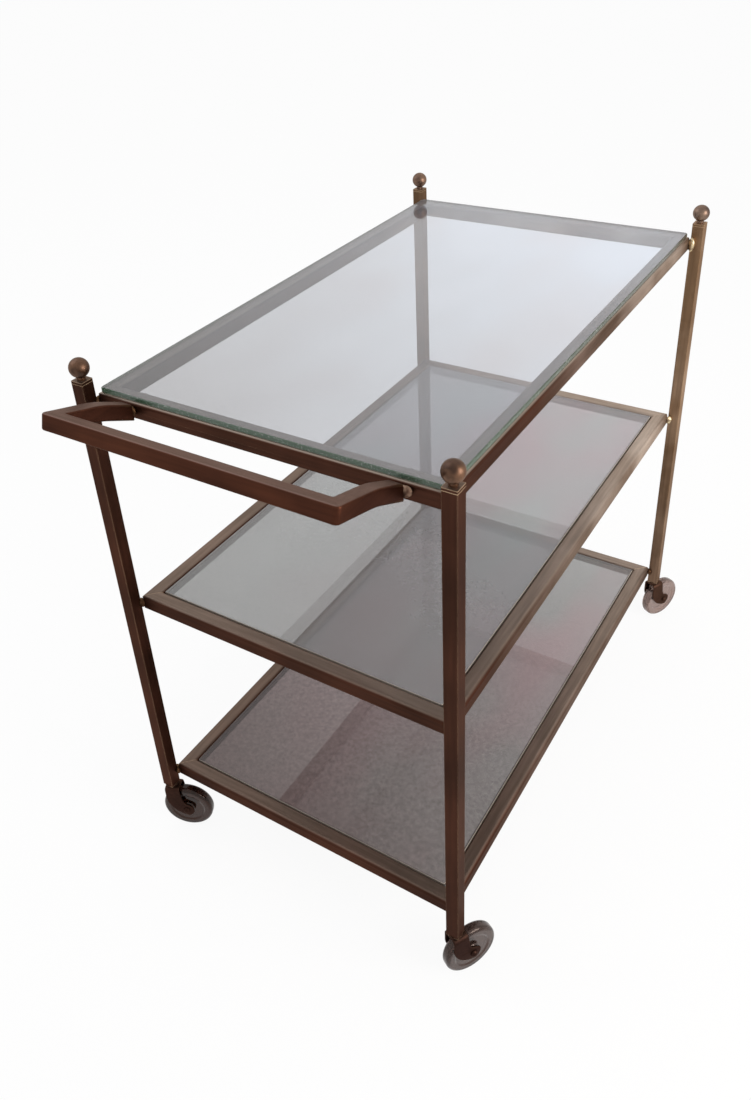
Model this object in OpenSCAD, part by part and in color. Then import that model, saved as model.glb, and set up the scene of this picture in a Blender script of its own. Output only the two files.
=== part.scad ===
// Three-tier rolling bar cart: four square posts with ball finials, three mitred tube frames
// that carry glass, a raised push handle at the front end and four swivel casters.
// The handle is at -Y. The floor is z = 0 and the origin is the middle of the whole outline.

/* [Shelves and posts] */
// Distance between post centres across the short side
span_x = 436; // [380:1:500]
// Distance between post centres along the long side
span_y = 730; // [620:1:840]
// Height of the lower frame's face above the post's foot
foot_drop = 31.65; // [28:0.05:60]
// Rise from the lower frame's face to the middle frame's face
lower_tier = 294; // [220:1:340]
// Rise from the middle frame's face to the top frame's face
upper_tier = 277; // [220:1:340]
// Width of the square post tube
post_w = 16; // [14:0.5:20]
// Wall of the post tube
post_wall = 1.5; // [1:0.1:2]
// Rounding of the post's long edges
post_edge_r = 0.8; // [0.5:0.1:2]
// Height of the post's top above the top frame's face
post_rise = 18; // [10:0.5:40]
// Thickness of the cap on the post
cap_t = 3; // [2:0.5:5]
// Depth of the cap's plug inside the post
plug_depth = 9; // [6:0.5:16]

/* [Finials] */
// Diameter of the ball
ball_d = 22; // [16:0.5:30]
// Height of the neck between cap and ball
neck_h = 2.6; // [1.5:0.1:6]
// Diameter of the neck
neck_d = 9; // [7:0.5:12]
// Diameter of the ball's threaded shank
shank_d = 5; // [4:0.5:6]
// Length of the shank below the neck
shank_l = 8; // [5:0.5:11]

/* [Frames] */
// Width of the frame tube seen from above
rail_w = 20; // [15:0.5:24]
// Height of the frame tube
rail_h = 20; // [16:0.5:24]
// Wall of the frame tube
rail_wall = 2; // [1.6:0.1:3]
// Rounding of the frame tube's long edges
rail_edge_r = 4.5; // [3.2:0.1:6]
// Clear gap between the frame's side and the post's inner face, both ways
frame_gap = 0.4; // [0.3:0.1:4]
// Width taken off each side of the frame's corner
corner_cut = 3; // [1.5:0.1:3]
// Diameter of the stud between frame corner and post
stud_d = 9; // [7:0.5:12]
// Depth to which the stud's notch holds the post's edge
stud_wrap = 2.5; // [1:0.1:4]

/* [Glass] */
// Thickness of the top pane
top_glass_t = 6; // [4:0.5:10]
// Distance from the frame's side in to the top pane's edge
top_glass_inset = 3; // [1:0.5:6]
// Corner radius of the top pane
top_glass_r = 4; // [2:0.5:10]
// Thickness of the middle and lower panes
shelf_glass_t = 5; // [4:0.5:8]
// Gap between a shelf pane and its frame all round
glass_gap = 0.5; // [0.4:0.1:2]
// Depth of a shelf pane's face below its frame's face
glass_sink = 0.5; // [0.2:0.1:3]
// Width of the lip under a shelf pane
lip_w = 3.5; // [3:0.1:6]
// Thickness of the lip
lip_t = 2; // [1.5:0.1:4]
// Distance from the frame's inside corner to the lip's end
lip_end = 12; // [8:1:40]

/* [Handle] */
// Width of the square handle tube
handle_w = 17; // [14:0.5:20]
// Wall of the handle tube
handle_wall = 2; // [1.7:0.1:2.5]
// Distance between the two arm centres
handle_span = 320; // [260:1:350]
// Distance from the frame's side out to the middle of the bar
handle_reach = 99; // [85:1:140]
// Distance from the frame's side out to the bend
bend_reach = 47; // [32:1:60]
// Slope of the arm between frame and bend in degrees
root_rise = 26; // [18:0.5:34]
// Slope of the arm and the bar beyond the bend in degrees
bar_rise = 16.5; // [10:0.5:17]
// Radius of the bend
bend_r = 150; // [40:5:160]
// Width taken off each side of the handle's outer corners
handle_cut = 3; // [0.5:0.1:3.2]
// Thickness of the wall that closes the arm's root
root_wall = 3; // [2:0.5:6]
// Length of the round spacer between frame and arm
ferrule_l = 7; // [4:0.5:12]
// Diameter of the spacer
ferrule_d = 13; // [11:0.5:15]
// Diameter of the bolt through frame and spacer
bolt_d = 5; // [4:0.5:6]
// Diameter of the bolt's round head
bolt_head_d = 9; // [8:0.5:11]
// Height of the bolt's head
bolt_head_t = 3; // [2:0.5:4]

/* [Casters] */
// Diameter of the wheel
wheel_d = 69; // [62:0.5:70]
// Width of the wheel at its rim
wheel_w = 14.6; // [13:0.1:18]
// Rounding of the tread's edges
tread_r = 5; // [2:0.1:6]
// Radius of the rim's inside edge
rim_r = 25; // [20:0.5:26]
// Depth of the hollow between hub and rim
dish = 1.2; // [0.4:0.1:2]
// Diameter of the hub
hub_d = 18; // [14:0.5:22]
// Distance from the swivel axis back to the axle
trail = 19; // [15:0.5:24]
// Clear gap between tread and fork crown
crown_clear = 2.5; // [2:0.1:5]
// Thickness of the fork's crown
crown_t = 2.5; // [2:0.1:4]
// Length of the crown ahead of the swivel axis
crown_front = 8; // [8:0.5:12]
// Length of the crown behind the swivel axis
crown_back = 12; // [8:0.5:14]
// Thickness of the fork's sides
leg_t = 2.5; // [2:0.1:3.5]
// Room between wheel rim and fork side
leg_clear = 1.2; // [0.8:0.1:3]
// Radius of the fork's round foot
foot_r = 10.5; // [8:0.5:12]
// Radius of the fork side's curved front edge
horn_r = 33; // [30:0.5:36]
// Outer radius of the fork's shoulders
shoulder_r = 5.5; // [3.6:0.1:6.5]
// Diameter of the axle
axle_d = 6; // [5:0.5:8]
// Diameter of the axle's heads
axle_head_d = 9.5; // [8.5:0.5:14]
// Height of the axle's heads
axle_head_t = 4; // [2:0.5:6]
// Diameter of the swivel stem
stem_d = 8; // [6:0.5:9]
// Length of the stem inside its socket
stem_l = 30; // [20:1:50]
// Diameter of the stem's rivet head under the crown
rivet_d = 13; // [11:0.5:16]
// Thickness of the rivet head
rivet_t = 1.2; // [0.8:0.1:2]
// Depth of the socket inside the post
socket_l = 34; // [24:1:60]
// Diameter of the socket's collar under the post
collar_d = 18; // [16:0.5:22]
// Thickness of the collar
collar_t = 3; // [2:0.5:6]
// Swivel angle of the front left caster in degrees, from +X towards +Y
swivel_angle_front_left = 23; // [0:0.1:360]
// Swivel angle of the front right caster in degrees
swivel_angle_front_right = 61.5; // [0:0.1:360]
// Swivel angle of the back left caster in degrees
swivel_angle_back_left = 40; // [0:0.1:360]
// Swivel angle of the back right caster in degrees
swivel_angle_back_right = 63.3; // [0:0.1:360]

/* [Clearances] */
// Radial clearance of a turning fit
running_fit = 0.06; // [0.02:0.01:0.1]
// Radial clearance of a fixed pin or bolt in its hole
loose_fit = 0.15; // [0.1:0.05:0.3]
// Gap between the faces of turning parts
side_gap = 0.35; // [0.3:0.05:0.6]

/* [Hidden] */
$fn = 64;

// Colours as the photograph shows them
bronze = "#6b4a2f";
bright_bronze = "#a07c4a";
dark_bronze = "#2e211b";
clear_glass = "#cfe0d6";
smoky_acrylic = "#8d7d79";

// Corners as signs along X and Y, and sides as the direction that each one faces
front_left = [-1, -1];
front_right = [1, -1];
back_left = [-1, 1];
back_right = [1, 1];
corners = [front_left, front_right, back_left, back_right];
front_side = [0, -1];
right_side = [1, 0];
back_side = [0, 1];
left_side = [-1, 0];

// Heights from the floor up: caster, foot of the post, the three frames' faces, top of the post
wheel_r = wheel_d / 2;
crown_z = wheel_d + crown_clear;
crown_top_z = crown_z + crown_t;
collar_z = crown_top_z + side_gap;
post_z = collar_z + collar_t;
lower_z = post_z + foot_drop;
middle_z = lower_z + lower_tier;
top_z = middle_z + upper_tier;
post_top_z = top_z + post_rise;
bore_w = post_w - 2 * post_wall;

// Half sizes of the frame outside and inside
frame_x = span_x / 2 - post_w / 2 - frame_gap;
frame_y = span_y / 2 - post_w / 2 - frame_gap;
inner_x = frame_x - rail_w;
inner_y = frame_y - rail_w;

// Middle of the arm's root, the bend and the bar, as distance out from the frame and height
root_z = top_z - rail_h / 2;
bend_z = root_z + bend_reach * tan(root_rise);
bar_y = -frame_y - handle_reach;
bar_z = bend_z + (handle_reach - bend_reach) * tan(bar_rise);
ferrule_z = root_z + ferrule_l / 2 * tan(root_rise);
arm_x = handle_span / 2;

// Middle plane and foot of the fork
leg_in = wheel_w / 2 + leg_clear;
leg_out = leg_in + leg_t;
hub_half = leg_in - side_gap;
horn_centre = [horn_r - crown_front, wheel_r - foot_r + horn_r];

// A cutter that passes right through what it cuts
past = 1;
beyond = 60;

// Half of a wheel's outline along an axis, for the wheel turned by angle a from that axis
function wheel_half(a) =
  (wheel_r - tread_r) * abs(cos(a)) + (wheel_w / 2 - tread_r) * abs(sin(a)) + tread_r;
function swivel(corner) =
  corner == front_left ? swivel_angle_front_left :
  corner == front_right ? swivel_angle_front_right :
  corner == back_left ? swivel_angle_back_left : swivel_angle_back_right;
function wheel_at(corner) =
  [corner.x * span_x / 2 + trail * cos(swivel(corner)),
   corner.y * span_y / 2 + trail * sin(swivel(corner))];
function bar_half() = handle_w / 2 * (cos(bar_rise) + sin(bar_rise));

// Outline of the whole cart from above, whose middle is the origin
reach_left = min([for (c = corners) wheel_at(c).x - wheel_half(swivel(c))]);
reach_right = max([for (c = corners) wheel_at(c).x + wheel_half(swivel(c))]);
reach_front = bar_y - bar_half();
reach_back = max([for (c = corners) wheel_at(c).y + wheel_half(90 - swivel(c))]);
shift = [-(reach_left + reach_right) / 2, -(reach_front + reach_back) / 2, 0];

// Points of an arc in n steps
function arc(centre, r, from, to, n) =
  [for (i = [0:n]) centre + r * [cos(from + (to - from) * i / n), sin(from + (to - from) * i / n)]];
function reversed(list) = [for (i = [len(list) - 1:-1:0]) list[i]];

// Centre line of the handle's arm seen from the side: y, z and slope, from inside the frame's
// side, round the bend and out past the bar
function arm_line() =
  let (tangent = bend_r * tan((root_rise - bar_rise) / 2),
       start = [-frame_y - bend_reach + tangent * cos(root_rise), bend_z - tangent * sin(root_rise)],
       centre = start - bend_r * [sin(root_rise), cos(root_rise)],
       steps = 8)
  concat(
    [[-frame_y + rail_w, root_z - rail_w * tan(root_rise), root_rise]],
    [for (i = [0:steps])
      let (a = root_rise - (root_rise - bar_rise) * i / steps,
           p = centre + bend_r * [sin(a), cos(a)])
      [p.x, p.y, a]],
    [[bar_y - handle_w, bar_z + handle_w * tan(bar_rise), bar_rise]]);
// The arm's outline at half thickness h on each side of that line
function arm_outline(h) =
  let (line = arm_line())
  concat(
    [for (p = line) [p[0] + h * sin(p[2]), p[1] + h * cos(p[2])]],
    [for (p = reversed(line)) [p[0] - h * sin(p[2]), p[1] - h * cos(p[2])]]);

module placed() {
  translate(shift) children();
}

module at_post(corner) {
  translate([corner.x * span_x / 2, corner.y * span_y / 2, 0]) children();
}

module at_caster(corner) {
  at_post(corner) rotate(swivel(corner)) children();
}

// Extrudes an outline given as y and z along X, centred on X = 0
module along_x(length) {
  translate([-length / 2, 0, 0]) rotate([90, 0, 90]) linear_extrude(length) children();
}

// Extrudes an outline given as x and z along Y, centred on Y = 0
module along_y(length) {
  translate([0, length / 2, 0]) rotate([90, 0, 0]) linear_extrude(length) children();
}

module rounded_square(size, r) {
  square([size.x - 2 * r, size.y], center = true);
  square([size.x, size.y - 2 * r], center = true);
  for (x = [-1, 1], y = [-1, 1])
    translate([x * (size.x / 2 - r), y * (size.y / 2 - r)]) circle(r);
}

module post(corner) {
  color(bronze) placed() at_post(corner) translate([0, 0, post_z])
    difference() {
      linear_extrude(post_top_z - cap_t - post_z) rounded_square([post_w, post_w], post_edge_r);
      translate([-bore_w / 2, -bore_w / 2, -past]) cube([bore_w, bore_w, post_top_z]);
    }
}

module cap(corner) {
  color(bronze) placed() at_post(corner) translate([0, 0, post_top_z - cap_t])
    difference() {
      union() {
        linear_extrude(cap_t) rounded_square([post_w, post_w], post_edge_r);
        translate([-bore_w / 2, -bore_w / 2, -plug_depth]) cube([bore_w, bore_w, plug_depth]);
      }
      translate([0, 0, -plug_depth - past])
        cylinder(d = shank_d + 2 * loose_fit, h = plug_depth + cap_t + 2 * past);
    }
}

module finial(corner) {
  color(bright_bronze) placed() at_post(corner) translate([0, 0, post_top_z]) {
    translate([0, 0, neck_h + ball_d / 2]) sphere(d = ball_d);
    cylinder(d = neck_d, h = neck_h + ball_d / 6);
    translate([0, 0, -shank_l]) cylinder(d = shank_d, h = shank_l + neck_h);
  }
}

// One mitred tube of a frame, with its outer side along y = 0 and its face at z = 0
module mitred_rail(half_length) {
  difference() {
    intersection() {
      along_x(2 * half_length) translate([rail_w / 2, -rail_h / 2])
        rounded_square([rail_w, rail_h], rail_edge_r);
      translate([0, 0, -rail_h - past]) linear_extrude(rail_h + 2 * past)
        polygon([
          [corner_cut + past - half_length, -past],
          [half_length - corner_cut - past, -past],
          [half_length - corner_cut / 2, corner_cut / 2],
          [half_length - rail_w - past, rail_w + past],
          [rail_w + past - half_length, rail_w + past],
          [corner_cut / 2 - half_length, corner_cut / 2],
        ]);
    }
    along_x(2 * half_length + 2 * past) translate([rail_w / 2, -rail_h / 2])
      rounded_square([rail_w - 2 * rail_wall, rail_h - 2 * rail_wall], rail_edge_r - rail_wall);
  }
}

module rail(side, face_z) {
  across = side.x == 0;
  turn = atan2(side.y, side.x) + 90;
  color(bronze) placed() translate([0, 0, face_z]) rotate(turn)
    translate([0, across ? -frame_y : -frame_x, 0]) mitred_rail(across ? frame_x : frame_y);
}

// The top frame's front tube, drilled for the handle's bolts
module drilled_front_rail() {
  color(bronze) difference() {
    rail(front_side, top_z);
    placed() for (x = [-arm_x, arm_x])
      translate([x, -frame_y + rail_w + past, ferrule_z]) rotate([90, 0, 0])
        cylinder(d = bolt_d + 2 * loose_fit, h = rail_w + 2 * past);
  }
}

// Round studs across the frame's four corners, each notched to hold its post's edge
module studs(face_z) {
  flat = corner_cut / sqrt(2);
  length = flat + frame_gap * sqrt(2) + stud_wrap;
  color(bright_bronze) placed() for (c = corners)
    difference() {
      translate([c.x * frame_x, c.y * frame_y, face_z - rail_h / 2])
        rotate(atan2(c.y, c.x)) rotate([0, 90, 0])
          translate([0, 0, -flat]) cylinder(d = stud_d, h = length);
      at_post(c) translate([0, 0, face_z - rail_h])
        linear_extrude(rail_h) square(post_w, center = true);
    }
}

// Narrow lips on the inside of a shelf frame, under the pane's edges
module lips(face_z) {
  z = face_z - glass_sink - shelf_glass_t - lip_t;
  long_x = 2 * (inner_x - lip_end);
  long_y = 2 * (inner_y - lip_end);
  color(bronze) placed() for (s = [-1, 1]) {
    translate([0, s * (inner_y - lip_w / 2), z + lip_t / 2]) cube([long_x, lip_w, lip_t], center = true);
    translate([s * (inner_x - lip_w / 2), 0, z + lip_t / 2]) cube([lip_w, long_y, lip_t], center = true);
  }
}

module top_pane() {
  size = [2 * (frame_x - top_glass_inset), 2 * (frame_y - top_glass_inset)];
  color(clear_glass, 0.35) placed() translate([0, 0, top_z])
    linear_extrude(top_glass_t) rounded_square(size, top_glass_r);
}

module shelf_pane(face_z) {
  size = [2 * (inner_x - glass_gap), 2 * (inner_y - glass_gap), shelf_glass_t];
  color(clear_glass, 0.35) placed()
    translate([0, 0, face_z - glass_sink - shelf_glass_t / 2]) cube(size, center = true);
}

// Plan of the handle's parts in the plane of its bar, extruded square to that plane
module handle_plan(thickness) {
  translate([0, bar_y, bar_z]) rotate([-bar_rise, 0, 0])
    linear_extrude(thickness, center = true) children();
}

// One arm: a bent square tube, closed at its root and mitred to the bar
module handle_arm(side) {
  half = handle_w / 2;
  root_y = -frame_y - ferrule_l;
  color(bronze) placed() difference() {
    intersection() {
      translate([side * arm_x, 0, 0]) along_x(handle_w) polygon(arm_outline(half));
      translate([0, root_y - handle_reach, root_z]) along_x(handle_span + beyond)
        square([2 * handle_reach, 4 * handle_reach], center = true);
      handle_plan(2 * handle_reach)
        polygon([
          [side * (arm_x + half - handle_cut / 2), handle_cut / 2 - half],
          [side * (arm_x + half + past), handle_cut - half + past],
          [side * (arm_x + half + past), 2 * handle_reach],
          [side * (arm_x - half - past), 2 * handle_reach],
          [side * (arm_x - half - past), half + past],
        ]);
    }
    intersection() {
      translate([side * arm_x, 0, 0]) along_x(handle_w - 2 * handle_wall)
        polygon(arm_outline(half - handle_wall));
      translate([0, root_y - root_wall - handle_reach, root_z]) along_x(handle_span + beyond)
        square([2 * handle_reach, 4 * handle_reach], center = true);
    }
    translate([side * arm_x, root_y + past, ferrule_z]) rotate([90, 0, 0])
      cylinder(d = bolt_d + 2 * loose_fit, h = root_wall + 2 * past);
  }
}

module handle_bar() {
  half = handle_w / 2;
  color(bronze) placed() difference() {
    handle_plan(handle_w)
      polygon([
        [handle_cut - arm_x - half, -half],
        [arm_x + half - handle_cut, -half],
        [arm_x + half - handle_cut / 2, handle_cut / 2 - half],
        [arm_x - half, half],
        [half - arm_x, half],
        [handle_cut / 2 - half - arm_x, handle_cut / 2 - half],
      ]);
    handle_plan(handle_w - 2 * handle_wall)
      square([handle_span + beyond, handle_w - 2 * handle_wall], center = true);
  }
}

module handle_ferrules() {
  color(bright_bronze) placed() for (x = [-arm_x, arm_x])
    translate([x, -frame_y, ferrule_z]) rotate([90, 0, 0])
      difference() {
        cylinder(d = ferrule_d, h = ferrule_l);
        translate([0, 0, -past]) cylinder(d = bolt_d + 2 * loose_fit, h = ferrule_l + 2 * past);
      }
}

// Bolts from inside the top frame, through rail and spacer into the arm's root
module handle_bolts() {
  color(dark_bronze) placed() for (x = [-arm_x, arm_x])
    translate([x, rail_w - frame_y, ferrule_z]) rotate([90, 0, 0]) {
      cylinder(d = bolt_d, h = rail_w + ferrule_l + root_wall + bolt_d / 2);
      translate([0, 0, -bolt_head_t]) cylinder(d = bolt_head_d, h = bolt_head_t);
    }
}

// Square sleeve in the post's foot, with a collar under the post and the stem's bore
module socket(corner) {
  color(dark_bronze) placed() at_post(corner) translate([0, 0, collar_z])
    difference() {
      union() {
        cylinder(d = collar_d, h = collar_t);
        translate([-bore_w / 2, -bore_w / 2, collar_t]) cube([bore_w, bore_w, socket_l]);
      }
      translate([0, 0, -past])
        cylinder(d = stem_d + 2 * running_fit, h = collar_t + socket_l + 2 * past);
    }
}

module stem(corner) {
  color(dark_bronze) placed() at_caster(corner) translate([0, 0, crown_z]) {
    cylinder(d = stem_d, h = crown_t + side_gap + collar_t + stem_l);
    translate([0, 0, -rivet_t]) cylinder(d = rivet_d, h = rivet_t);
  }
}

// Side view of the fork: x behind the swivel axis, z above the floor
module fork_side() {
  foot = [trail, wheel_r];
  foot_turn = 110;
  horn_end = 180 + acos((horn_centre.x - trail) / horn_r);
  polygon(concat(
    [[-crown_front, crown_top_z]],
    arc(horn_centre, horn_r, 180, horn_end, 12),
    arc(foot, foot_r, -90, foot_turn, 20),
    [[crown_back, crown_top_z]]));
}

// End view of the fork: an upside-down U with round shoulders
module fork_end() {
  low_z = wheel_r - foot_r - past;
  out = leg_out - shoulder_r;
  inner_r = shoulder_r - leg_t;
  in = leg_in - inner_r;
  polygon(concat(
    [[leg_out, low_z]],
    arc([out, crown_top_z - shoulder_r], shoulder_r, 0, 90, 6),
    arc([-out, crown_top_z - shoulder_r], shoulder_r, 90, 180, 6),
    [[-leg_out, low_z], [-leg_in, low_z]],
    arc([-in, crown_z - inner_r], inner_r, 180, 90, 4),
    arc([in, crown_z - inner_r], inner_r, 90, 0, 4),
    [[leg_in, low_z]]));
}

module fork(corner) {
  color(dark_bronze) placed() at_caster(corner) difference() {
    intersection() {
      along_y(2 * leg_out + 2 * past) fork_side();
      translate([trail / 2, 0, 0]) along_x(trail + beyond) fork_end();
    }
    translate([0, 0, crown_z - past]) cylinder(d = stem_d + 2 * loose_fit, h = crown_t + 2 * past);
    translate([trail, leg_out + past, wheel_r]) rotate([90, 0, 0])
      cylinder(d = axle_d + 2 * loose_fit, h = 2 * leg_out + 2 * past);
  }
}

// Riveted axle: a pin through both sides of the fork with a domed head at each end
module axle(corner) {
  dome_r = (pow(axle_head_d / 2, 2) + pow(axle_head_t, 2)) / (2 * axle_head_t);
  color(dark_bronze) placed() at_caster(corner) translate([trail, 0, wheel_r]) {
    rotate([90, 0, 0]) cylinder(d = axle_d, h = 2 * leg_out, center = true);
    for (turn = [90, -90]) rotate([turn, 0, 0]) translate([0, 0, leg_out])
      intersection() {
        cylinder(d = axle_head_d, h = axle_head_t);
        translate([0, 0, axle_head_t - dome_r]) sphere(dome_r);
      }
  }
}

// Solid wheel with a rounded tread, a shallow hollow on each side and a hub up to the fork
module wheel(corner) {
  half = wheel_w / 2;
  hub_r = hub_d / 2;
  bore_r = axle_d / 2 + running_fit;
  edge = [wheel_r - tread_r, half - tread_r];
  upper = concat(
    [[bore_r, hub_half], [hub_r - dish / 2, hub_half], [hub_r, hub_half - dish / 2],
     [hub_r, half - dish], [rim_r - dish, half - dish], [rim_r, half]],
    arc(edge, tread_r, 90, 0, 8));
  color(smoky_acrylic) placed() at_caster(corner) translate([trail, 0, wheel_r])
    rotate([90, 0, 0]) rotate_extrude($fn = 96)
      polygon(concat(upper, [for (p = reversed(upper)) [p.x, -p.y]]));
}

post(front_left);  // post_front_left
post(front_right);  // post_front_right
post(back_left);  // post_back_left
post(back_right);  // post_back_right
cap(front_left);  // cap_front_left
cap(front_right);  // cap_front_right
cap(back_left);  // cap_back_left
cap(back_right);  // cap_back_right
finial(front_left);  // finial_front_left
finial(front_right);  // finial_front_right
finial(back_left);  // finial_back_left
finial(back_right);  // finial_back_right
drilled_front_rail();  // top_rail_front
rail(back_side, top_z);  // top_rail_back
rail(left_side, top_z);  // top_rail_left
rail(right_side, top_z);  // top_rail_right
rail(front_side, middle_z);  // middle_rail_front
rail(back_side, middle_z);  // middle_rail_back
rail(left_side, middle_z);  // middle_rail_left
rail(right_side, middle_z);  // middle_rail_right
rail(front_side, lower_z);  // lower_rail_front
rail(back_side, lower_z);  // lower_rail_back
rail(left_side, lower_z);  // lower_rail_left
rail(right_side, lower_z);  // lower_rail_right
studs(top_z);  // top_studs
studs(middle_z);  // middle_studs
studs(lower_z);  // lower_studs
lips(middle_z);  // middle_lips
lips(lower_z);  // lower_lips
top_pane();  // top_glass
shelf_pane(middle_z);  // middle_glass
shelf_pane(lower_z);  // lower_glass
handle_arm(-1);  // handle_arm_left
handle_arm(1);  // handle_arm_right
handle_bar();
handle_ferrules();
handle_bolts();
socket(front_left);  // socket_front_left
socket(front_right);  // socket_front_right
socket(back_left);  // socket_back_left
socket(back_right);  // socket_back_right
stem(front_left);  // stem_front_left
stem(front_right);  // stem_front_right
stem(back_left);  // stem_back_left
stem(back_right);  // stem_back_right
fork(front_left);  // fork_front_left
fork(front_right);  // fork_front_right
fork(back_left);  // fork_back_left
fork(back_right);  // fork_back_right
axle(front_left);  // axle_front_left
axle(front_right);  // axle_front_right
axle(back_left);  // axle_back_left
axle(back_right);  // axle_back_right
wheel(front_left);  // wheel_front_left
wheel(front_right);  // wheel_front_right
wheel(back_left);  // wheel_back_left
wheel(back_right);  // wheel_back_right
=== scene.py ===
import math

import bpy
import numpy as np
from mathutils import Matrix, Vector


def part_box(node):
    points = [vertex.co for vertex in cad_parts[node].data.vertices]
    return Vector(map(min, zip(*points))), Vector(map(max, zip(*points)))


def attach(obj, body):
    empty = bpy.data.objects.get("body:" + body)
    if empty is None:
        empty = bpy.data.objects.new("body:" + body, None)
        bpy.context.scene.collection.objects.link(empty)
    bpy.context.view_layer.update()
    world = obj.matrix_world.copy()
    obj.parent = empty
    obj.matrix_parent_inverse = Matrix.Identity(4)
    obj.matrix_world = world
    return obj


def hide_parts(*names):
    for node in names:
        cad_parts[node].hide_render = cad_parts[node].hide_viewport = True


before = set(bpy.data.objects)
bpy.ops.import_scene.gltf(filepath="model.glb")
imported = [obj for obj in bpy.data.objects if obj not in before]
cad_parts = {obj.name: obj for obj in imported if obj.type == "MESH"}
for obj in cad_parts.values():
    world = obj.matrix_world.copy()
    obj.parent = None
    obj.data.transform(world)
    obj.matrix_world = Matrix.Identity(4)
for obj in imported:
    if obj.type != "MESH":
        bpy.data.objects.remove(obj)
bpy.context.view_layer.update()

CORNERS = ("front_left", "front_right", "back_left", "back_right")
TIERS = ("top", "middle", "lower")
MM = 0.001
# How far a pane's underside is held off the frame or lips below it, so that their upper faces show.
LIFT = 0.1 * MM


# Camera: it stands ahead of the handle's right end and looks down on the cart.

def place_camera():
    """Camera whose axes come from an azimuth, an elevation and a small roll, with the photograph's focal
    length and its off-centre axis as shift."""
    azimuth, elevation, roll = (math.radians(a) for a in (34.155, 31.041, -3.722))
    width, height, focal = 751, 1100, 973.98
    axis = (354.75, 447.32)
    place = Vector((523.76, -942.88, 1147.15)) * MM
    level = Vector((math.cos(azimuth), math.sin(azimuth), 0))
    ahead = Vector((-math.sin(azimuth), math.cos(azimuth), -math.tan(elevation))).normalized()
    right = math.cos(roll) * level + math.sin(roll) * level.cross(ahead)
    up = right.cross(ahead)
    data = bpy.data.cameras.new("camera")
    data.sensor_width = 36
    data.lens = focal / height * data.sensor_width
    data.shift_x = (width / 2 - axis[0]) / height
    data.shift_y = (axis[1] - height / 2) / height
    data.clip_start, data.clip_end = 0.05, 60
    camera = bpy.data.objects.new("camera", data)
    camera.matrix_world = Matrix.Translation(place) @ Matrix((right, up, -ahead)).transposed().to_4x4()
    bpy.context.collection.objects.link(camera)
    bpy.context.scene.camera = camera


place_camera()


# Materials

# A brown patina is part metal and part oxide: it mirrors less than bare brass, and in a browner tone.
PATINA_METAL = 0.8
BROWN_GLANCE = "#c2b2a8"
WHITE = "#ffffff"
GLASS_IOR = 1.52
ACRYLIC_IOR = 1.49


def linear(hex_code):
    """The linear colour of an sRGB hex value, with alpha 1."""
    parts = [int(hex_code[i:i + 2], 16) / 255 for i in (1, 3, 5)]
    return tuple(c / 12.92 if c <= 0.04045 else ((c + 0.055) / 1.055) ** 2.4 for c in parts) + (1.0,)


def add(tree, kind, inputs=(), **settings):
    """Adds a node. Settings go on the node; inputs maps a socket's name or number to a value, a hex colour
    or the output that feeds it."""
    node = tree.nodes.new("ShaderNode" + kind)
    for name, value in settings.items():
        setattr(node, name, value)
    for name, value in dict(inputs).items():
        socket = node.inputs[name]
        if isinstance(value, bpy.types.NodeSocket):
            tree.links.new(value, socket)
        else:
            socket.default_value = linear(value) if isinstance(value, str) else value
    return node


def new_material(name):
    """An empty material, its node tree and the Surface socket of its output."""
    material = bpy.data.materials.new(name)
    material.use_nodes = True
    tree = material.node_tree
    tree.nodes.clear()
    return material, tree, tree.nodes.new("ShaderNodeOutputMaterial").inputs["Surface"]


def noise(tree, cell, stretch=(1, 1, 1), detail=3.0):
    """Noise from 0 to 1 over the object's own coordinates, in cells of that many millimetres; a stretch
    under 1 draws it out along that axis."""
    place = add(tree, "TexCoord").outputs["Object"]
    drawn = add(tree, "Mapping", {"Vector": place, "Scale": stretch}).outputs[0]
    cells = {"Vector": drawn, "Scale": 1 / (cell * MM), "Detail": detail}
    return add(tree, "TexNoise", cells).outputs["Fac"]


def toward(tree, direction, low, high):
    """0 to 1 along a direction of the object's own coordinates, from low to high in metres."""
    place = add(tree, "TexCoord").outputs["Object"]
    along = add(tree, "VectorMath", {0: place, 1: direction}, operation="DOT_PRODUCT").outputs["Value"]
    return ranged(tree, along, low, high)


def ranged(tree, value, low, high, start=0.0, end=1.0):
    """A value between low and high, carried over to between start and end and held there."""
    limits = {"Value": value, "From Min": low, "From Max": high, "To Min": start, "To Max": end}
    return add(tree, "MapRange", limits).outputs[0]


def blend(tree, share, first, second, low=0.0, high=1.0):
    """The first colour where share is low, passing to the second where it is high."""
    part = ranged(tree, share, low, high)
    return add(tree, "Mix", {0: part, 6: first, 7: second}, data_type="RGBA").outputs[2]


def shaded(tree, colour, factor):
    """A colour made lighter or darker by a factor."""
    return add(tree, "VectorMath", {0: colour, "Scale": factor}, operation="SCALE").outputs[0]


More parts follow.
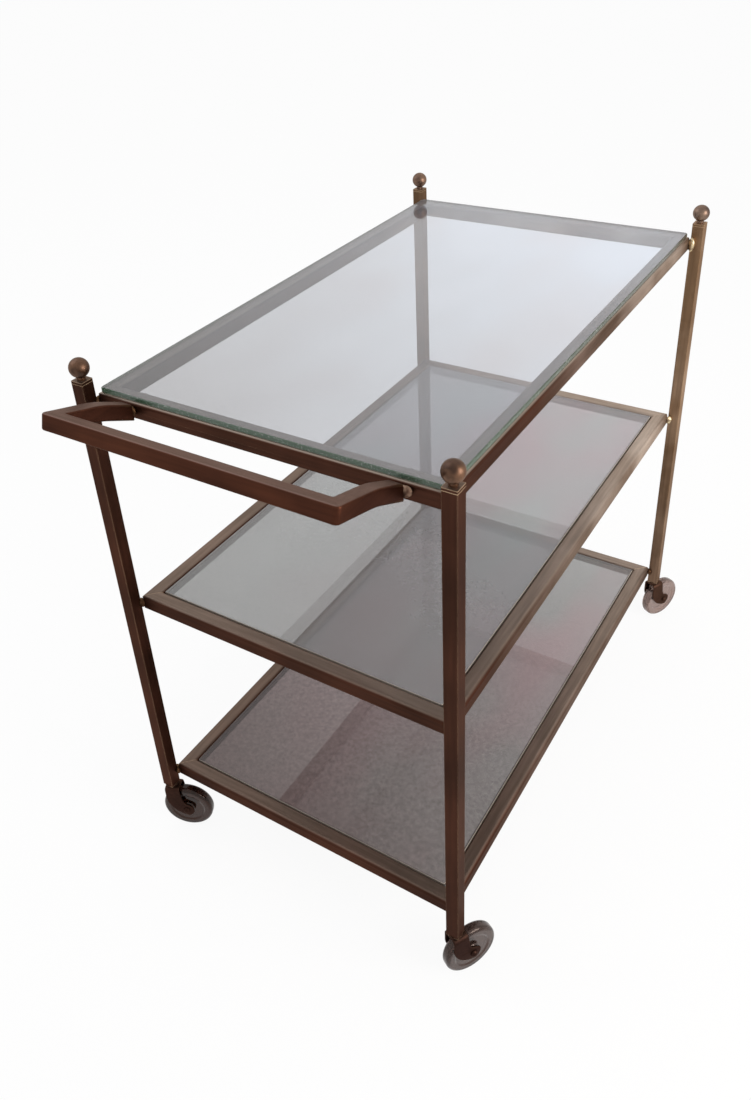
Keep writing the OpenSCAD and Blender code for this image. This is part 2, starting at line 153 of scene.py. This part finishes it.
def patinated_metal(name, near, far, wear_and_highlight_tone, pale, roughness, streak=(1, 1, 1), dust=0.45, wear_and_highlight_share=0.6,
                    cell=110.0, wax=0.0, aside=0.7):
    """Metal under a brown patina, with a satin skin. near and far are its dark and brown tones at the
    handle's end and at the other end; one passes to the other towards the back, upwards and, by the share
    aside, to the right. That passage is painted light: lighter where the light falls, darker in the shade
    near the handle. Corners go lighter by their own share, part wear and part a painted highlight. Dust
    and a painted sheen make what looks up paler by their own share, less so low down, as painted shade.
    wax is the weight of a thin clear coat. The patina was wiped on in patches of about cell millimetres.
    Draw marks of 0.3 mm and a grain of 0.1 mm are too fine to show, so they are drawn 4 mm and 1.4 mm
    wide."""
    mark, fine, corner_radius, low_dust, wax_roughness = 4.0, 1.4, 1.4 * MM, 0.45, 0.3
    flat_face, full_corner = 0.985, 0.86
    material, tree, surface = new_material(name)
    # Noise keeps mostly between 0.3 and 0.7, so what follows it starts and ends about there.
    clouds = noise(tree, cell)
    # Painted light: the dark tones near the handle pass to lighter ones towards the back, upwards and to
    # the right, where the light falls.
    near_patina_in_painted_shade = blend(tree, clouds, *near, 0.35, 0.65)
    far_patina_in_painted_light = blend(tree, clouds, *far, 0.35, 0.65)
    back = toward(tree, (aside, 1, 0), 0.0, 0.5)
    upper = toward(tree, (0, 0, 1), -0.1, 0.4)
    share = add(tree, "Math", {0: back, 1: upper}, operation="MULTIPLY").outputs[0]
    # The patina's patches with that painted light over them.
    patina = blend(tree, share, near_patina_in_painted_shade, far_patina_in_painted_light)
    geometry = add(tree, "NewGeometry").outputs
    height = add(tree, "SeparateXYZ", {0: geometry["Normal"]}).outputs["Z"]
    # What looks up is paler, partly dust and partly a painted sheen; low down less so, as painted shade.
    level = ranged(tree, height, 0.7, 0.98, 0.0, dust)
    sheen_and_low_shade = {0: level, 1: ranged(tree, upper, 0.0, 1.0, low_dust, 1.0)}
    dusted = add(tree, "Math", sheen_and_low_shade, operation="MULTIPLY").outputs[0]
    dusty = blend(tree, dusted, patina, blend(tree, back, pale, far[1]))
    toned = shaded(tree, dusty, ranged(tree, noise(tree, mark, streak), 0.3, 0.7, 0.82, 1.16))
    # Corners take a lighter tone, partly wear and partly a painted highlight.
    corner = add(tree, "Bevel", {"Radius": corner_radius}, samples=6).outputs["Normal"]
    turned = add(tree, "VectorMath", {0: corner, 1: geometry["True Normal"]}, operation="DOT_PRODUCT")
    edge = ranged(tree, turned.outputs["Value"], flat_face, full_corner)
    patchy = ranged(tree, clouds, 0.3, 0.7, 0.4 * wear_and_highlight_share, wear_and_highlight_share)
    wear_and_highlight_mask = add(tree, "Math", {0: edge, 1: patchy}, operation="MULTIPLY").outputs[0]
    colour = blend(tree, wear_and_highlight_mask, toned, wear_and_highlight_tone)
    grain = noise(tree, fine, detail=2.0)
    rough = ranged(tree, grain, 0.0, 1.0, roughness - 0.08, roughness + 0.1)
    skin = add(tree, "Bump", {"Strength": 0.1, "Distance": 0.1 * MM, "Height": grain, "Normal": corner})
    body = {"Base Color": colour, "Metallic": PATINA_METAL, "Roughness": rough, "Normal": skin.outputs[0],
            "Specular Tint": BROWN_GLANCE, "Coat Weight": wax, "Coat Roughness": wax_roughness}
    tree.links.new(add(tree, "BsdfPrincipled", body).outputs[0], surface)
    return material


def clear_sheet(name, near, far, specks, transmission, roughness=0.0, ior=GLASS_IOR, clear_from=0.0,
                glance=WHITE):
    """Glass or acrylic that shows what is behind it. It is tinted near at the handle's left corner, and
    from the share clear_from of the way to the opposite corner it passes to far, drifting between far's two
    tones in soft bands 200 mm wide. That passage is painted light and shade, darker near the handle's
    corner, and the bands also make it a little lighter and darker, as painted soft shade. Dust, as strong
    as specks says, is plainest at the near corner; real specks of 0.5 mm are too fine to show, so they are
    drawn 5 mm apart. glance tints what it mirrors. Lamps shine through it, so its shadow stays light."""
    band, speck_gap = 200.0, 5.0
    material, tree, surface = new_material(name)
    across = toward(tree, (0.64, 0.77, 0), -0.34, 0.34)
    bands = noise(tree, band, (1.0, 0.6, 1.0), 2.0)
    # Painted light and shade: the tint is darker near the handle's corner and lighter towards the far one.
    tint = blend(tree, across, near, blend(tree, bands, *far, 0.4, 0.6), clear_from)
    speck = ranged(tree, noise(tree, speck_gap, detail=2.0), 0.35, 0.65, -1.0, 1.0)
    strength = ranged(tree, across, 0.2, 0.8, specks, 0.2 * specks)
    light = add(tree, "Math", {0: speck, 1: strength, 2: 1.0}, operation="MULTIPLY_ADD").outputs[0]
    # The soft bands make the tint a little lighter and darker: painted soft shade.
    dusty = shaded(tree, shaded(tree, tint, light), ranged(tree, bands, 0.3, 0.7, 0.93, 1.05))
    body = {"Base Color": dusty, "Roughness": roughness, "IOR": ior, "Transmission Weight": transmission,
            "Specular Tint": glance}
    glass = add(tree, "BsdfPrincipled", body).outputs[0]
    lit = add(tree, "BsdfTransparent", {"Color": near}).outputs[0]
    shadow = add(tree, "LightPath").outputs["Is Shadow Ray"]
    tree.links.new(add(tree, "MixShader", {0: shadow, 1: glass, 2: lit}).outputs[0], surface)
    return material


def ground_glass(name, near, far, chip, transmission):
    """A pane's ground edge with a satin touch: its tint goes from near, at the handle's end, to far at the
    other, and shows the depth of the sheet between pale chips 2 mm apart."""
    chip_gap, satin = 2.0, 0.3
    material, tree, surface = new_material(name)
    tint = blend(tree, toward(tree, (0.3, 0.95, 0), -0.4, 0.4), near, far)
    chips = blend(tree, noise(tree, chip_gap, detail=4.0), tint, chip, 0.55, 0.75)
    edge = {"Base Color": chips, "Roughness": satin, "IOR": GLASS_IOR, "Transmission Weight": transmission}
    tree.links.new(add(tree, "BsdfPrincipled", edge).outputs[0], surface)
    return material


# The tones of each finish: dark and brown near the handle, dark and brown at the far end, rubbed corners,
# what looks up, and the roughness. The far tones are lighter as painted light, the corners' tone is part
# wear and part painted highlight, and what looks up is part dust and part painted sheen.
TUBE = (("#331d14", "#482a1f"), ("#866a50", "#ba9e84"), "#e2c4a0", "#98887a", 0.42)
RAIL = (TUBE[0], ("#806c5c", "#bcac9e"), "#e2c4a0", "#a09082", 0.42)
UNDER_GLASS = (*RAIL[:3], "#b8aa9c", 0.42)
GRIP = (("#341b13", "#4a291c"), ("#341b13", "#4a291c"), "#8c6c50", "#8f7c74", 0.4)
STEEL = (("#1f120f", "#352019"), ("#4a3528", "#66493a"), "#5d4536", "#4c382c", 0.42)
KNOB = (("#3e281b", "#74543e"), ("#54423a", "#88705f"), "#b89c84", "#5c4436", 0.38)
# The dark and brown tones of brazing metal, alike from end to end.
BRIGHT = ("#86705a", "#dccaa4")
WORN = ("#573e32", "#9a7f6c")
DULL = ("#3a2619", "#59402b")

# Brown antique patina on drawn square tube: a satin skin, finely streaked along each tube.
brass_post = patinated_metal("patinated_brass_post_tube", *TUBE, streak=(1, 1, 0.05), wear_and_highlight_share=1.0)
brass_cap = patinated_metal("patinated_brass_cap", *TUBE)
brass_cross = patinated_metal("patinated_brass_cross_tube", *RAIL, streak=(0.05, 1, 1), aside=1.2)
brass_long = patinated_metal("patinated_brass_long_tube", *RAIL, streak=(1, 0.05, 1), aside=1.2)
# The top frame, whose upper faces under the pane are paler: a painted reflection of the glass above them.
top_cross = patinated_metal("brass_cross_tube_with_painted_glass_sheen", *UNDER_GLASS, streak=(0.05, 1, 1), dust=0.85)
top_long = patinated_metal("brass_long_tube_with_painted_glass_sheen", *UNDER_GLASS, streak=(1, 0.05, 1), dust=0.85)
# The handle, dark and reddish all along, in the tones found near the handle; what looks up is paler, partly
# dust and partly a painted sheen.
brass_bar = patinated_metal("handled_brass_cross_tube", *GRIP, streak=(0.05, 1, 1), wear_and_highlight_share=0.4)
brass_arm = patinated_metal("handled_brass_long_tube", *GRIP, streak=(1, 0.05, 1), wear_and_highlight_share=0.4)
# Balls turned from brass, which hands rub: cloudier and smoother than the tube, with a waxed shine. The
# ones at the back right are lighter as painted light.
knob = patinated_metal("turned_brass_knob", *KNOB, cell=20.0, wax=0.3)
# Brazing metal: pale gold where it is fresh, pinkish where hands pass, brown where the patina took it.
bright_braze = patinated_metal("bright_brazed_bead", BRIGHT, BRIGHT, "#f0e2c2", "#d4c09a", 0.28, cell=6.5)
worn_braze = patinated_metal("worn_brazed_bead", WORN, WORN, "#b89c8a", "#a08672", 0.34, cell=6.5)
dull_braze = patinated_metal("patinated_brazed_bead", DULL, DULL, "#6e543a", "#6e5840", 0.4, cell=6.5)
# Pressed steel with a dark bronze finish, a little lighter at its edges, part wear and part painted
# highlight, and lighter towards the back right as painted light.
bronzed_steel = patinated_metal("bronzed_pressed_steel", *STEEL)
# Float glass: clear and cool on top, milky at the middle, brown-grey and speckled at the bottom, as shelves
# gather dust; the darker tints lower down and near the handle's corner are painted shade.
top_glass = clear_sheet("float_glass_top", "#bcbcbe", ("#e9e9f0", "#e4eaf4"), specks=0.015,
                        transmission=0.9)
middle_glass = clear_sheet("float_glass_middle", "#a9a9a8", ("#cbbcc0", "#bcc0c0"), specks=0.04,
                           transmission=0.65)
lower_glass = clear_sheet("float_glass_lower", "#675957", ("#b9a6a8", "#a9a9a8"), specks=0.2,
                          transmission=0.75)
# The panes' ground edges: green to brown round the top one, pale and dull at the two inside their frames,
# where the pale tone is a painted reflection of the brass around an edge that lies in shade.
top_edge = ground_glass("ground_glass_edge", "#44624a", "#504a3c", "#aab4a6", transmission=0.45)
shelf_edge = ground_glass("ground_glass_edge_in_frame", "#92877c", "#aaa298", "#b8b0a8", transmission=0.0)
# Cast acrylic, brown and smoky with a brownish shine, a little frosted by wear; the wheels near the
# handle's left corner are darker and those towards the back right lighter, as painted light and shade.
smoky_acrylic = clear_sheet("smoky_cast_acrylic", "#301a12", ("#a08880", "#988680"), specks=0.06,
                            transmission=0.75, roughness=0.12, ior=ACRYLIC_IOR, clear_from=0.22,
                            glance="#d8c8c0")


def dress(material, *nodes):
    """Gives a material to each slot of the named CAD nodes."""
    for name in nodes:
        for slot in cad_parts[name].material_slots:
            slot.material = material


for corner in CORNERS:
    dress(brass_post, "post_" + corner)
    dress(brass_cap, "cap_" + corner)
    dress(knob, "finial_" + corner)
    dress(bronzed_steel, "socket_" + corner, "stem_" + corner, "axle_" + corner)
for tier in TIERS:
    dress(top_cross if tier == "top" else brass_cross, tier + "_rail_front", tier + "_rail_back")
    dress(top_long if tier == "top" else brass_long, tier + "_rail_left", tier + "_rail_right")
dress(brass_long, "middle_lips", "lower_lips")
dress(bronzed_steel, "handle_bolts")


# Pieces in mesh code

def grid_faces(rings, around, wrap=False):
    """Quads over a grid of closed rings; with wrap, the last ring joins the first. They face outward where
    each ring runs anticlockwise as seen from the last ring's side."""
    i, j = np.meshgrid(np.arange(rings if wrap else rings - 1), np.arange(around), indexing="ij")
    here, above = i * around, (i + 1) % rings * around
    beside = (j + 1) % around
    return np.stack([here + j, here + beside, above + beside, above + j], -1).reshape(-1, 4).tolist()


def loft(points):
    """Faces of a solid through closed rings, with a flat face on the first and the last one."""
    rings, around = points.shape[:2]
    last = (rings - 1) * around
    return grid_faces(rings, around) + [list(range(around))[::-1], list(range(last, last + around))]


def corner_arcs(steps):
    """Angles round a rounded rectangle, steps of them along each corner's quarter circle, and each one's
    side of the middle, 1 or -1, along the first axis and along the second."""
    t = np.radians([[0], [90], [180], [270]]) + np.linspace(0, np.pi / 2, steps)
    return t.ravel(), np.repeat([1, -1, -1, 1], steps), np.repeat([1, 1, -1, -1], steps)


def new_piece(name, points, faces, materials, body, smooth=True):
    """A mesh of those points and faces that rides on a body and takes its finish from a slot."""
    mesh = bpy.data.meshes.new(name)
    mesh.from_pydata(np.reshape(points, (-1, 3)).tolist(), [], faces)
    for material in materials:
        mesh.materials.append(material)
    mesh.polygons.foreach_set("use_smooth", [smooth] * len(faces))
    piece = bpy.data.objects.new(name, mesh)
    bpy.context.collection.objects.link(piece)
    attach(piece, body)
    return piece


def add_pane(tier, corner_radius, flat, glass, edge):
    """A sheet of glass with an edge between two narrow flats at 45 degrees. A ring's points are the
    corner's centre + (r - e)(cos t, sin t), for the inset e and the height z of each of the four rings:
    (flat, low), (0, low + flat), (0, high - flat) and (flat, high)."""
    low, high = (np.array(p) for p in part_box(tier + "_glass"))
    low[2] += LIFT
    middle, half = (low + high) / 2, (high - low) / 2 - corner_radius
    t, side_x, side_y = corner_arcs(9)
    rings = []
    for inset, z in ((flat, low[2]), (0, low[2] + flat), (0, high[2] - flat), (flat, high[2])):
        out = corner_radius - inset
        x = middle[0] + side_x * half[0] + out * np.cos(t)
        y = middle[1] + side_y * half[1] + out * np.sin(t)
        rings.append(np.stack([x, y, np.full_like(x, z)], -1))
    faces = loft(np.array(rings))
    piece = new_piece(tier + "_pane", rings, faces, (glass, edge), "frame", smooth=False)
    piece.data.polygons.foreach_set("material_index", [1] * (len(faces) - 2) + [0, 0])
    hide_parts(tier + "_glass")


add_pane("top", 4 * MM, 1.0 * MM, top_glass, top_edge)
add_pane("middle", 1.5 * MM, 0.5 * MM, middle_glass, shelf_edge)
add_pane("lower", 1.5 * MM, 0.5 * MM, lower_glass, shelf_edge)


def arm_line(root_y, slope, root_slope):
    """The middle line of an arm seen from the side, from the frame to the last point of its bend, with the
    slope at each point. From the bar's middle it falls back along slope, turns down in an arc of radius
    150 mm and runs on along root_slope to the frame."""
    bend_behind, bend_radius, arc_points = 52 * MM, 150 * MM, 12
    before_arc = bend_behind / math.cos(slope) - bend_radius * math.tan((root_slope - slope) / 2)
    a = np.linspace(root_slope, slope, arc_points)
    y = before_arc * math.cos(slope) + bend_radius * (np.sin(a) - math.sin(slope))
    z = -before_arc * math.sin(slope) + bend_radius * (np.cos(a) - math.cos(slope))
    root_z = z[0] - (root_y - y[0]) * math.tan(root_slope)
    return np.append(root_y, y), np.append(root_z, z), np.append(a[0], a)


def add_handle():
    """The handle, bent and mitred from square tube with round edges. Each station along it has an inner and
    an outer point, a distance w apart. A ring there is inner + m u + k n, with u from inner to outer and n
    square to the handle's slope. m runs from 0 to w and k from -h to h, h being half the tube's width, and
    the corners between them are quarter circles. Where the arms meet the bar the stations fan out, and the
    inner and outer points each turn on a quarter circle of their own. The left half mirrors the right."""
    low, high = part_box("handle_bar")
    arm_low, arm_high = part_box("handle_arm_right")
    centre = np.array((low + high) / 2)
    half, arm_x = (arm_high.x - arm_low.x) / 2, (arm_high.x + arm_low.x) / 2 - centre[0]
    root_y = arm_high.y - centre[1]
    slope, root_slope = math.radians(16.5), math.radians(26)
    edge, inner_round, outer_round = 2 * MM, 1.5 * MM, 5 * MM
    y, z, a = arm_line(root_y, slope, root_slope)
    inner_turn = np.radians(-np.concatenate([[0], np.linspace(35, 55, 9), [90]]))
    in_x = arm_x - half - inner_round * (1 - np.cos(inner_turn))
    in_v = half + inner_round * (1 + np.sin(inner_turn))
    outer_turn = np.radians(-np.linspace(0, 90, 9))
    around_x = arm_x + half - outer_round * (1 - np.cos(outer_turn))
    around_v = outer_round * (1 + np.sin(outer_turn)) - half
    out_x = np.concatenate([[arm_x + half], around_x, [arm_x - half - inner_round]])
    out_v = np.concatenate([[half + inner_round], around_v, [-half]])
    fall = np.array((0, math.cos(slope), -math.sin(slope)))
    side = np.stack([np.full_like(y, arm_x), y, z], -1)
    inner = np.concatenate([side - (half, 0, 0), in_x[:, None] * (1, 0, 0) + in_v[:, None] * fall])
    outer = np.concatenate([side + (half, 0, 0), out_x[:, None] * (1, 0, 0) + out_v[:, None] * fall])
    a = np.append(a, np.full(len(inner_turn), slope))
    normal = np.stack([0 * a, np.sin(a), np.cos(a)], -1)
    inner, outer, normal = (np.concatenate([p, (p * (-1, 1, 1))[::-1]]) for p in (inner, outer, normal))
    wide = np.linalg.norm(outer - inner, axis=1, keepdims=True)
    steps = 5
    t, to_side, to_top = corner_arcs(steps)
    m = (to_side + 1) / 2 * wide - to_side * edge + edge * np.cos(t)
    k = to_top * (half - edge) + edge * np.sin(t)
    across = ((outer - inner) / wide)[:, None]
    points = inner[:, None] + m[..., None] * across + k[:, None] * normal[:, None]
    for ring in (points[0], points[-1]):
        ring += (root_y - ring[:, 1:2]) * (0, 1, -math.tan(root_slope))
    points += centre
    faces = loft(points)
    piece = new_piece("push_handle", points, faces, (brass_arm, brass_bar), "frame")
    # Faces count along a ring and then from ring to ring; inward counts rings from the nearer end. The
    # bar's finish starts in the middle of the fan, and the outer side is smooth only round the fan.
    row, around = np.divmod(np.arange(len(faces)), len(t))
    inward = np.minimum(row, len(points) - 2 - row)
    fan_start, fan_end = len(side), len(points) // 2 - 1
    on_bar = inward >= (fan_start + fan_end) // 2
    rounded = (around + 1) % steps != 0
    outer_fan = (around == len(t) - 1) & (inward >= fan_start) & (inward < fan_end)
    piece.data.polygons.foreach_set("material_index", on_bar.astype(int).tolist())
    piece.data.polygons.foreach_set("use_smooth", ((rounded | outer_fan) & (inward >= 0)).tolist())
    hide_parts("handle_arm_left", "handle_arm_right", "handle_bar")


add_handle()


def lump(centre, axes, radii, phase):
    """A bead of braze: centre + (1 + d)(a cos v cos u, b cos v sin u, c sin v) along its own axes, where
    d = cos v (0.13 sin(2u + p) + 0.09 sin(3u - 2v + 2p)) makes it uneven and p is the phase."""
    pole, rings, step_round = 84, 22, 12
    upward, round_it = np.linspace(-pole, pole, rings), np.arange(0, 360, step_round)
    v, u = np.radians(np.meshgrid(upward, round_it, indexing="ij"))
    uneven = 1 + np.cos(v) * (0.13 * np.sin(2 * u + phase) + 0.09 * np.sin(3 * u - 2 * v + 2 * phase))
    a, b, c = radii
    local = np.stack([a * np.cos(v) * np.cos(u), b * np.cos(v) * np.sin(u), c * np.sin(v)], -1)
    return np.array(centre) + (uneven[..., None] * local) @ np.array(axes)


def add_beads(name, lumps, finishes, node):
    """One piece of several lumps, each in its own finish, in place of a CAD node."""
    faces, slots = [], []
    for index, points in enumerate(lumps):
        first = index * points[..., 0].size
        own = [[first + k for k in face] for face in loft(points)]
        faces += own
        slots += [index] * len(own)
    piece = new_piece(name, np.array(lumps), faces, finishes, "frame")
    piece.data.polygons.foreach_set("material_index", slots)
    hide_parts(node)


def corner_beads():
    """Where each frame's corner meets its post: small dark beads, but at the back right of the two upper
    frames golden ones that stand out towards the front, the top one large. Radii run along the diagonal,
    across it and up."""
    up = Vector((0, 0, 1))
    for tier_index, tier in enumerate(TIERS):
        level = sum(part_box(tier + "_rail_front"), Vector()).z / 2
        lumps = []
        for index, corner in enumerate(CORNERS):
            low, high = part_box("post_" + corner)
            post = (low + high) / 2
            inward = Vector((-math.copysign(1, post.x), -math.copysign(1, post.y), 0)).normalized()
            across = up.cross(inward)
            out, radii = 0, (4.2, 6.0, 5.6)
            if corner == "back_right" and tier != "lower":
                out, radii = (5.0, (5.2, 4.6, 10.0)) if tier == "top" else (4.0, (4.2, 4.6, 6.4))
            reach = (high.x - low.x) / math.sqrt(2) + 0.8 * MM
            centre = Vector((post.x, post.y, level)) + inward * reach + across * out * MM
            phase = 1.7 * index + 2.3 * tier_index
            lumps.append(lump(centre, (inward, across, up), np.array(radii) * MM, phase))
        last = dull_braze if tier == "lower" else bright_braze
        add_beads(tier + "_beads", lumps, (dull_braze,) * 3 + (last,), tier + "_studs")


def handle_beads():
    """The two beads that join the handle's arms to the top frame: a dark one at the left, and a large
    pinkish one that stands out beside the right arm."""
    low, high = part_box("handle_ferrules")
    middle, radius, depth = (low + high) / 2, (high.z - low.z) / 2, high.y - low.y
    left = lump((low.x + radius, middle.y, middle.z), np.eye(3), (radius, 0.6 * depth, radius), 0.0)
    beside = Vector((high.x + 1.8 * MM, middle.y - 0.5 * MM, middle.z + 2 * MM))
    right = lump(beside, np.eye(3), (6.4 * MM, 4.2 * MM, 6.0 * MM), 1.3)
    add_beads("handle_beads", (left, right), (dull_braze, worn_braze), "handle_ferrules")


corner_beads()
handle_beads()


# Casters: x runs back from the swivel axis through the wheel, y across and z up.

def caster_axes(corner):
    """The swivel axis's place on the floor, the directions of the caster's own x, y and z, how far the
    wheel trails behind the axis, and the wheel's radius."""
    axis = sum(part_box("stem_" + corner), Vector()) / 2
    wheel = sum(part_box("wheel_" + corner), Vector()) / 2
    back = Vector((wheel.x - axis.x, wheel.y - axis.y, 0)).normalized()
    up = Vector((0, 0, 1))
    directions = np.array((back, up.cross(back), up))
    return np.array((axis.x, axis.y, 0)), directions, (wheel - axis).xy.length, wheel.z


def step(value, start, end):
    """0 below start, 1 above end and a smooth rise between."""
    s = np.clip((value - start) / (end - start), 0, 1)
    return s * s * (3 - 2 * s)


def add_wheel(corner):
    """A moulded wheel: the profile of half width h(r) turned about the axle. h is the hub's half width,
    falls to the hollow, rises to the rim and rounds off with a quarter circle at the tread."""
    origin, axes, trail, radius = caster_axes(corner)
    bore, tread, hollow, hub_half, half = (n * MM for n in (3.06, 5, 1.2, 8.15, 7.3))
    hub_in, hub_out, hollow_in, hollow_out, rim_in, rim_out = (n * MM for n in (7.6, 9.2, 8.4, 10, 22, 25))
    side_steps, tread_steps, turns = 64, 33, 144
    r = np.linspace(bore, radius - tread, side_steps)
    hub = (hub_half - half) * (1 - step(r, hub_in, hub_out))
    dish = hollow * step(r, hollow_in, hollow_out) * (1 - step(r, rim_in, rim_out))
    h = half + hub - dish
    t = np.linspace(-np.pi / 2, np.pi / 2, tread_steps)[1:-1]
    out = radius - tread + tread * np.cos(t)
    wide = np.sign(t) * (half - tread) + tread * np.sin(t)
    sides = np.stack([r, -h], 1), np.stack([out, wide], 1), np.stack([r, h], 1)[::-1]
    profile = np.concatenate(sides)
    turn = np.linspace(0, 2 * np.pi, turns, endpoint=False)[:, None]
    across = np.broadcast_to(profile[:, 1], (turns, len(profile)))
    x, z = trail + profile[:, 0] * np.cos(turn), radius + profile[:, 0] * np.sin(turn)
    points = origin + np.stack([x, across, z], -1) @ axes
    faces = grid_faces(turns, len(profile), wrap=True)
    body = "roller_" + corner
    piece = new_piece("tyre_" + corner, points, faces, (smoky_acrylic,), body)
    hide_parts("wheel_" + corner)


def add_fork(corner):
    """A fork pressed from one sheet. A strip with round edges follows an upside-down U from foot to foot;
    at each height it reaches from the front edge x0(z), a straight and an arc of radius 33 mm, to the rear
    edge x1(z), a slope down to the round foot."""
    origin, axes, trail, foot_z = caster_axes(corner)
    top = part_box("fork_" + corner)[1].z
    sheet, foot, horn, shoulder, outside = (n * MM for n in (2.5, 10.5, 33, 4.25, 9.75))
    crown_front, crown_rear = -8 * MM, 12 * MM
    levels, bends, rounds, leaving = 26, 9, 9, 70
    rise = np.linspace(foot_z - 0.99 * foot, top - sheet / 2 - shoulder, levels)
    t = np.radians(np.linspace(0, 90, bends))[1:]
    y = np.concatenate([np.full(levels, outside), outside - shoulder + shoulder * np.cos(t)])
    z = np.concatenate([rise, rise[-1] + shoulder * np.sin(t)])
    lean = np.concatenate([np.zeros(levels), t])
    horn_z = foot_z - foot + horn
    x0 = crown_front + horn - np.sqrt(np.maximum(horn ** 2 - np.minimum(z - horn_z, 0) ** 2, 0))
    joint = foot_z + foot * math.sin(math.radians(leaving))
    slope = trail + foot * math.cos(math.radians(180 - leaving))
    round_foot = trail + np.sqrt(np.maximum(foot ** 2 - (z - foot_z) ** 2, 0))
    fade = step(z, joint - 6 * MM, joint + 10 * MM)
    rear = slope + (crown_rear - slope) * np.clip((z - joint) / (top - joint), 0, 1)
    x1 = (1 - fade) * np.maximum(round_foot, slope) + fade * rear
    middle, half = (x0 + x1) / 2, np.maximum((x1 - x0) / 2, 0.6 * sheet)
    y, lean = (np.concatenate([a, -a[::-1]]) for a in (y, lean))
    z, middle, half = (np.concatenate([a, a[::-1]]) for a in (z, middle, half))
    turn = np.radians(np.concatenate([np.linspace(-90, 90, rounds), np.linspace(90, 270, rounds)]))
    end = np.repeat([1, -1], rounds)
    x = middle[:, None] + end * (half[:, None] - sheet / 2) + sheet / 2 * np.cos(turn)
    thick = np.sign(y)[:, None] * sheet / 2 * np.sin(turn)
    bent_y = y[:, None] + thick * np.cos(lean)[:, None]
    bent_z = z[:, None] + thick * np.sin(lean)[:, None]
    points = origin + np.stack([x, bent_y, bent_z], -1) @ axes
    name = "pressed_fork_" + corner
    piece = new_piece(name, points, loft(points), (bronzed_steel,), "caster_" + corner)
    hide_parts("fork_" + corner)


for corner in CORNERS:
    add_wheel(corner)
    add_fork(corner)


# Floor, lamps and surroundings

def seen_background(tree):
    """1 for rays from the camera, off gloss and through glass, which see the background at its own
    brightness."""
    path = add(tree, "LightPath").outputs
    seen = {0: path["Is Camera Ray"], 1: path["Is Glossy Ray"]}
    gloss = add(tree, "Math", seen, operation="MAXIMUM").outputs[0]
    return add(tree, "Math", {0: gloss, 1: path["Is Transmission Ray"]}, operation="MAXIMUM").outputs[0]


def lay_floor():
    """A wide white floor that keeps a faint shadow."""
    material, tree, surface = new_material("painted_studio_floor")
    paint = add(tree, "BsdfDiffuse", {"Color": "#f6f6f6"})
    glow = add(tree, "Emission", {"Color": WHITE, "Strength": 1.0})
    own_white = 0.92
    share = add(tree, "Math", {0: seen_background(tree), 1: own_white}, operation="MULTIPLY")
    mixed = add(tree, "MixShader", {0: share.outputs[0], 1: paint.outputs[0], 2: glow.outputs[0]})
    tree.links.new(mixed.outputs[0], surface)
    half = 20.0
    mesh = bpy.data.meshes.new("floor")
    corners = [(-half, -half, 0), (half, -half, 0), (half, half, 0), (-half, half, 0)]
    mesh.from_pydata(corners, [], [(0, 1, 2, 3)])
    mesh.materials.append(material)
    floor = bpy.data.objects.new("floor", mesh)
    bpy.context.collection.objects.link(floor)


def hang_lamp(name, place, size, power, colour):
    """A square soft lamp, so wide in metres and so strong in watts, that faces the middle of the cart."""
    data = bpy.data.lights.new(name, "AREA")
    data.size, data.energy, data.color = size, power, linear(colour)[:3]
    lamp = bpy.data.objects.new(name, data)
    lamp.location = place
    middle = Vector((0, 0, 0.35))
    lamp.rotation_euler = (middle - Vector(place)).to_track_quat("-Z", "Y").to_euler()
    bpy.context.collection.objects.link(lamp)


def light_world():
    """A pale world all round, plain white where it is seen."""
    world = bpy.data.worlds.new("studio")
    bpy.context.scene.world = world
    world.use_nodes = True
    tree = world.node_tree
    tree.nodes.clear()
    plain_level, seen_level = 0.7, 1.0
    strength = ranged(tree, seen_background(tree), 0.0, 1.0, plain_level, seen_level)
    sky = add(tree, "Background", {"Color": WHITE, "Strength": strength})
    tree.links.new(sky.outputs[0], tree.nodes.new("ShaderNodeOutputWorld").inputs["Surface"])


lay_floor()
hang_lamp("key_lamp", (2.1, -0.1, 1.1), size=1.2, power=34.0, colour="#fff6ee")
hang_lamp("fill_lamp", (-1.8, -0.6, 2.4), size=2.0, power=14.0, colour="#f2f4ff")
light_world()
bpy.context.scene.view_settings.view_transform = "Standard"
